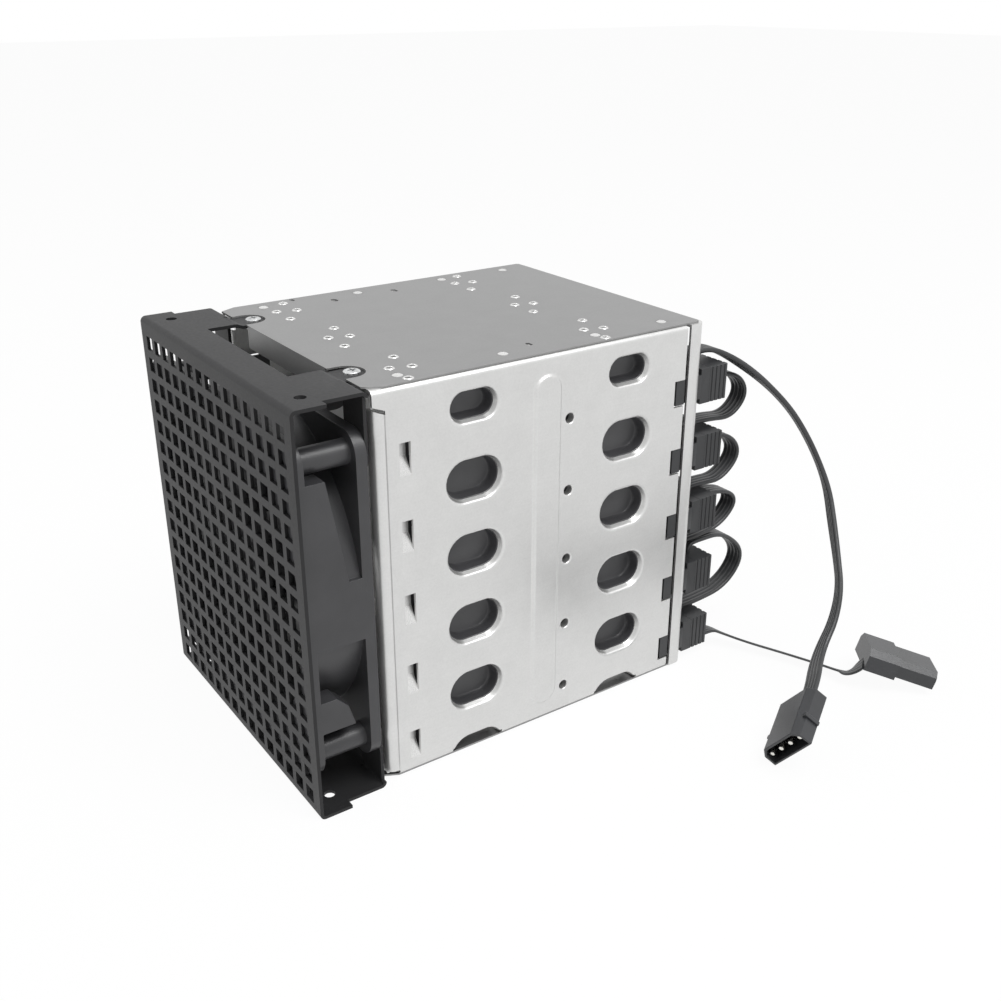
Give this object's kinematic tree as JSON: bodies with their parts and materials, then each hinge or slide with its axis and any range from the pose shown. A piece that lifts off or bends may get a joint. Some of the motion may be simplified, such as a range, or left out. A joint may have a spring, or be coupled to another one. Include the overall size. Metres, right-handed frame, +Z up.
{
  "type": "hot swap drive cage",
  "caption": "Open sheet-metal drive cage with a fan behind a grille, stacked drive bays, rear power connectors on ribbon loops and a loose supply lead.",
  "frame": {"origin": "middle of the cage's footprint on the surface it stands on, without the two loose leads", "axes": "+X up the stack of host bays (to the connector side), +Y from the grille towards the connectors, +Z up, across the host bay from one mounting plate to the other"},
  "size_m": [0.206, 0.2468, 0.146],
  "materials": {
    "black_steel": "satin black powder coat",
    "zinc_steel": "zinc-plated, light grey",
    "zinc_plate": "zinc-plated, dull",
    "screw_steel": "zinc-plated",
    "fan_plastic": "moulded black",
    "shaft_steel": "ground",
    "bearing_brass": "sintered",
    "magnet": "bonded magnet",
    "laminations": "stamped",
    "coil_copper": "enamelled wire",
    "board": "circuit board",
    "connector_plastic": "moulded black",
    "plug_plastic": "moulded dark",
    "pad_plastic": "moulded black",
    "contact_metal": "plated",
    "ribbon": "smooth insulation"
  },
  "bodies": {
    "cage": {"front_bracket": "black_steel", "bracket_screws": "screw_steel", "fan_frame": "fan_plastic", "fan_bearing": "bearing_brass", "fan_stator": "laminations", "fan_windings": "coil_copper", "fan_circuit_board": "board", "right_side_panel": "zinc_steel", "left_side_panel": "zinc_steel", "right_drive_pads": "pad_plastic", "left_drive_pads": "pad_plastic", "top_plate": "zinc_plate", "bottom_plate": "zinc_plate", "top_front_rail": "zinc_steel", "bottom_front_rail": "zinc_steel", "rear_frame": "zinc_steel", "connector_contacts": "contact_metal", "supply_ribbon": "ribbon", "tail_ribbon": "ribbon", "supply_plug": "plug_plastic", "plug_pins": "contact_metal", "tail_socket": "plug_plastic", "tail_contacts": "contact_metal", "connector_housing_1": "connector_plastic", "connector_housing_2": "connector_plastic", "connector_housing_3": "connector_plastic", "connector_housing_4": "connector_plastic", "connector_housing_5": "connector_plastic", "connector_cap_1": "connector_plastic", "connector_cap_2": "connector_plastic", "connector_cap_3": "connector_plastic", "connector_cap_4": "connector_plastic", "connector_cap_5": "connector_plastic", "ribbon_loop_1": "ribbon", "ribbon_loop_2": "ribbon", "ribbon_loop_3": "ribbon", "ribbon_loop_4": "ribbon"},
    "rotor": {"fan_rotor": "fan_plastic", "fan_shaft": "shaft_steel", "fan_magnet_ring": "magnet"}
  },
  "joints": [
    {"name": "fan_spin", "type": "hinge", "parent": "cage", "child": "rotor", "pos_m": [0, -0.09048, 0.073], "axis": [0, 1, 0], "continuous": true}
  ]
}
